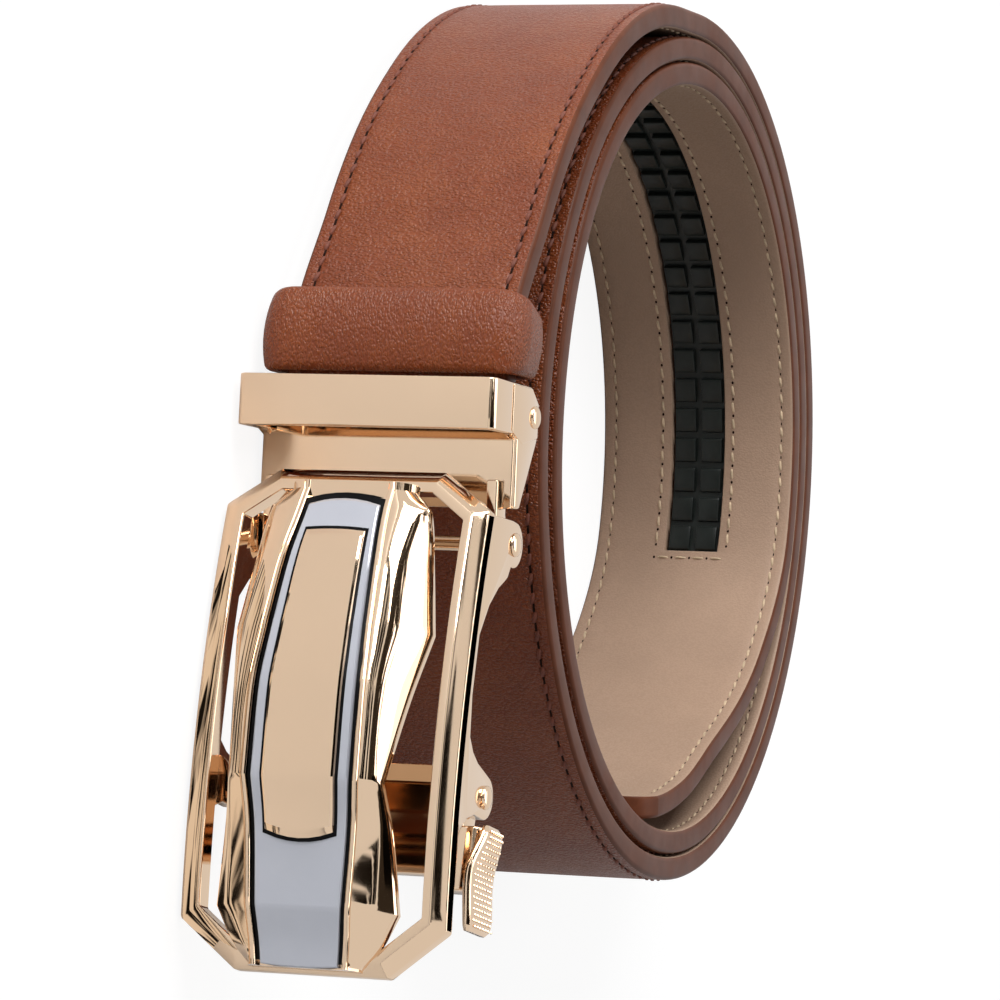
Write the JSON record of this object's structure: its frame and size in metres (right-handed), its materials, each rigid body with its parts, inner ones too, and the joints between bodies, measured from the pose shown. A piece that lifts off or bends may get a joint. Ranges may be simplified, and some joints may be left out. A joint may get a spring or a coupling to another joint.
{
  "type": "ratchet belt",
  "caption": "Leather ratchet belt coiled on its edge, with a toothed track in the lining and a hinged automatic buckle with a clamp, pawl and release lever.",
  "frame": {"origin": "middle of the belt's box, on the surface it lies on", "axes": "+Z is the coil's axis and points up; the buckle faces -Y and its free end points to +X; the strap leaves the clip towards -X"},
  "size_m": [0.1556, 0.1964, 0.0448],
  "materials": {
    "face_leather": "grained brown leather, semi-matt",
    "lining_leather": "smooth tan leather, matt",
    "black_track": "moulded black plastic",
    "gold_metal": "polished pale rose gold plating",
    "grey_enamel": "glossy blue-grey enamel"
  },
  "bodies": {
    "belt": {"strap_face": "face_leather", "strap_lining": "lining_leather", "ratchet_track": "black_track", "keeper_loop": "face_leather", "clip_body": "gold_metal", "clamp_pin": "gold_metal"},
    "clamp": {"clamp_flap": "gold_metal"},
    "buckle_head": {"buckle_frame": "gold_metal", "center_band": "grey_enamel", "center_panel": "gold_metal", "hinge_pin": "gold_metal", "pawl_pin": "gold_metal"},
    "pawl": {"release_pawl": "gold_metal"}
  },
  "joints": [
    {"name": "buckle_hinge", "type": "hinge", "parent": "belt", "child": "buckle_head", "pos_m": [0.01498, -0.0694, 0.02105], "axis": [0, 0, 1], "range_deg": [0, 25]},
    {"name": "clamp_hinge", "type": "hinge", "parent": "belt", "child": "clamp", "pos_m": [-0.00402, -0.06295, 0.02105], "axis": [0, 0, 1], "range_deg": [0, 90]},
    {"name": "pawl_hinge", "type": "hinge", "parent": "buckle_head", "child": "pawl", "pos_m": [0.05153, -0.07648, 0.02105], "axis": [0, 0, -1], "range_deg": [0, 15], "stiffness_Nm_per_rad": 0.05}
  ]
}
